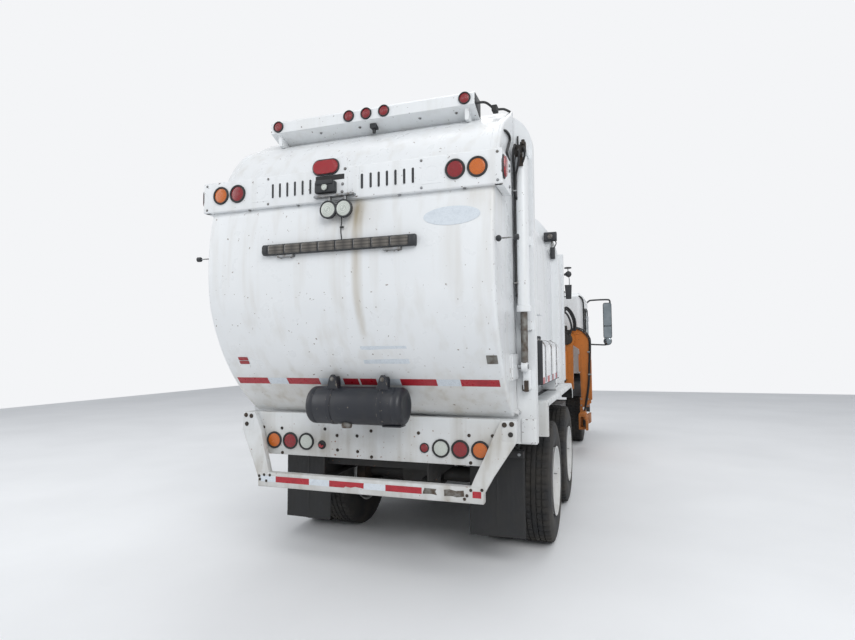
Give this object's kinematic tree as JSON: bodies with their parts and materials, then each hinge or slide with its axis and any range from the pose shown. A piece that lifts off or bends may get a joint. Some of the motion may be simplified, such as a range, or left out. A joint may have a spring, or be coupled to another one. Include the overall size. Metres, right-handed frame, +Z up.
{
  "type": "automated side-loading garbage truck",
  "caption": "Side-loading refuse truck: rounded white body with a bulged top-hinged tailgate, hopper, low cab, orange loading arm, twin rear wheels.",
  "frame": {"origin": "on the ground under the middle of the truck's length and width", "axes": "+X the truck's right, +Y forward, +Z up"},
  "size_m": [3.33, 8.91, 3.52],
  "materials": {
    "white_paint": "satin",
    "dark_paint": "satin",
    "orange_paint": "gloss",
    "tyre": "matte",
    "bare_steel": "brushed",
    "polished_aluminium": "polished",
    "lens": "gloss",
    "dark_plastic": "matte",
    "glass": "clear",
    "black_rubber": "matte",
    "seat_cloth": "woven",
    "castings": "rough"
  },
  "bodies": {
    "truck": {"frame": "dark_paint", "rear_axles": "castings", "suspension": "castings", "front_axle": "castings", "engine": "dark_paint", "tanks": "polished_aluminium", "exhaust": "dark_paint", "front_bumper": "dark_paint", "body_shell": "white_paint", "rear_ring": "white_paint", "cylinder_brackets": "white_paint", "hopper": "white_paint", "body_bands": "white_paint", "side_tank": "polished_aluminium", "fenders": "white_paint", "mud_flaps": "black_rubber", "tail_panel": "white_paint", "road_lamps": "lens", "underride_guard": "white_paint", "arm_base": "dark_paint"},
    "tailgate": {"tailgate": "white_paint", "light_bars": "white_paint", "tailgate_lamps": "lens", "signal_bar": "dark_plastic", "canister": "dark_paint", "marker_rods": "dark_plastic"},
    "tailgate_cylinder_left": {"tailgate_cylinder_left": "white_paint"},
    "tailgate_cylinder_right": {"tailgate_cylinder_right": "white_paint"},
    "tailgate_rod_left": {"tailgate_rod_left": "bare_steel"},
    "tailgate_rod_right": {"tailgate_rod_right": "bare_steel"},
    "packer": {"packer": "white_paint"},
    "arm_slide": {"arm_slide": "orange_paint"},
    "lift_arm": {"lift_arm": "orange_paint"},
    "finger_rear": {"finger_rear": "dark_paint"},
    "finger_front": {"finger_front": "dark_paint"},
    "knuckle_left": {"knuckle_left": "castings"},
    "knuckle_right": {"knuckle_right": "castings"},
    "wheel_front_left": {"tyre_front_left": "tyre", "rim_front_left": "white_paint"},
    "wheel_front_right": {"tyre_front_right": "tyre", "rim_front_right": "white_paint"},
    "cab": {"cab_shell": "white_paint", "cab_steps": "white_paint", "cab_fenders": "dark_plastic", "cab_glass": "glass", "seats": "seat_cloth", "dashboard": "dark_plastic", "mirrors": "dark_plastic"},
    "door_left": {"door_left": "white_paint", "door_glass_left": "glass"},
    "door_right": {"door_right": "white_paint", "door_glass_right": "glass"},
    "wheels_rear_left": {"tyres_rear_left": "tyre", "rims_rear_left": "white_paint"},
    "wheels_rear_right": {"tyres_rear_right": "tyre", "rims_rear_right": "white_paint"},
    "wheels_middle_left": {"tyres_middle_left": "tyre", "rims_middle_left": "white_paint"},
    "wheels_middle_right": {"tyres_middle_right": "tyre", "rims_middle_right": "white_paint"}
  },
  "joints": [
    {"name": "wheels_rear_left_spin", "type": "hinge", "parent": "truck", "child": "wheels_rear_left", "pos_m": [-0.911, -2.595, 0.52], "axis": [-1, 0, 0], "continuous": true},
    {"name": "wheels_rear_right_spin", "type": "hinge", "parent": "truck", "child": "wheels_rear_right", "pos_m": [0.911, -2.595, 0.52], "axis": [-1, 0, 0], "continuous": true},
    {"name": "wheels_middle_left_spin", "type": "hinge", "parent": "truck", "child": "wheels_middle_left", "pos_m": [-0.911, -1.225, 0.52], "axis": [-1, 0, 0], "continuous": true},
    {"name": "wheels_middle_right_spin", "type": "hinge", "parent": "truck", "child": "wheels_middle_right", "pos_m": [0.911, -1.225, 0.52], "axis": [-1, 0, 0], "continuous": true},
    {"name": "steer_left", "type": "hinge", "parent": "truck", "child": "knuckle_left", "pos_m": [-0.78, 3.055, 0.54], "axis": [0, 0, 1], "range_deg": [-35, 35]},
    {"name": "wheel_front_left_spin", "type": "hinge", "parent": "knuckle_left", "child": "wheel_front_left", "pos_m": [-1, 3.055, 0.54], "axis": [-1, 0, 0], "continuous": true},
    {"name": "door_left_hinge", "type": "hinge", "parent": "cab", "child": "door_left", "pos_m": [-1.206, 4.248, 1.7], "axis": [0, 0, -1], "range_deg": [0, 75]},
    {"name": "steer_right", "type": "hinge", "parent": "truck", "child": "knuckle_right", "pos_m": [0.78, 3.055, 0.54], "axis": [0, 0, 1], "range_deg": [-35, 35]},
    {"name": "wheel_front_right_spin", "type": "hinge", "parent": "knuckle_right", "child": "wheel_front_right", "pos_m": [1, 3.055, 0.54], "axis": [-1, 0, 0], "continuous": true},
    {"name": "door_right_hinge", "type": "hinge", "parent": "cab", "child": "door_right", "pos_m": [1.206, 4.248, 1.7], "axis": [0, 0, 1], "range_deg": [0, 75]},
    {"name": "cab_tilt", "type": "hinge", "parent": "truck", "child": "cab", "pos_m": [0, 4.145, 0.8], "axis": [-1, 0, 0], "range_deg": [0, 45]},
    {"name": "tailgate_lift", "type": "hinge", "parent": "truck", "child": "tailgate", "pos_m": [0, -3.595, 3.478], "axis": [-1, 0, 0], "range_deg": [0, 90]},
    {"name": "cylinder_left_swing", "type": "hinge", "parent": "truck", "child": "tailgate_cylinder_left", "pos_m": [-1.13, -3.73, 3.13], "axis": [-1, 0, 0], "range_deg": [0, 106]},
    {"name": "rod_left_slide", "type": "slide", "parent": "tailgate_cylinder_left", "child": "tailgate_rod_left", "axis": [0, 0, -1], "range_m": [0, 0.33]},
    {"name": "cylinder_right_swing", "type": "hinge", "parent": "truck", "child": "tailgate_cylinder_right", "pos_m": [1.13, -3.73, 3.13], "axis": [-1, 0, 0], "range_deg": [0, 106]},
    {"name": "rod_right_slide", "type": "slide", "parent": "tailgate_cylinder_right", "child": "tailgate_rod_right", "axis": [0, 0, -1], "range_m": [0, 0.33]},
    {"name": "packer_slide", "type": "slide", "parent": "truck", "child": "packer", "axis": [0, -1, 0], "range_m": [0, 4.8]},
    {"name": "arm_reach", "type": "slide", "parent": "truck", "child": "arm_slide", "axis": [1, 0, 0], "range_m": [0, 1.1]},
    {"name": "arm_lift", "type": "hinge", "parent": "arm_slide", "child": "lift_arm", "pos_m": [0.95, 2.255, 1.85], "axis": [0, -1, 0], "range_deg": [0, 160]},
    {"name": "grip_rear", "type": "hinge", "parent": "lift_arm", "child": "finger_rear", "pos_m": [1.215, 1.635, 0.52], "axis": [0, 0, 1], "range_deg": [0, 86]},
    {"name": "grip_front", "type": "hinge", "parent": "lift_arm", "child": "finger_front", "pos_m": [1.215, 1.875, 0.52], "axis": [0, 0, -1], "range_deg": [0, 86]}
  ],
  "couplings": [
    {"joint": "steer_right", "follows": "steer_left", "ratio": 1},
    {"joint": "grip_front", "follows": "grip_rear", "ratio": 1},
    {"joint": "cylinder_left_swing", "follows": "tailgate_lift", "ratio": 1.1667},
    {"joint": "rod_left_slide", "follows": "tailgate_lift", "m_per_rad": 0.2037},
    {"joint": "cylinder_right_swing", "follows": "tailgate_lift", "ratio": 1.1667},
    {"joint": "rod_right_slide", "follows": "tailgate_lift", "m_per_rad": 0.2037}
  ]
}
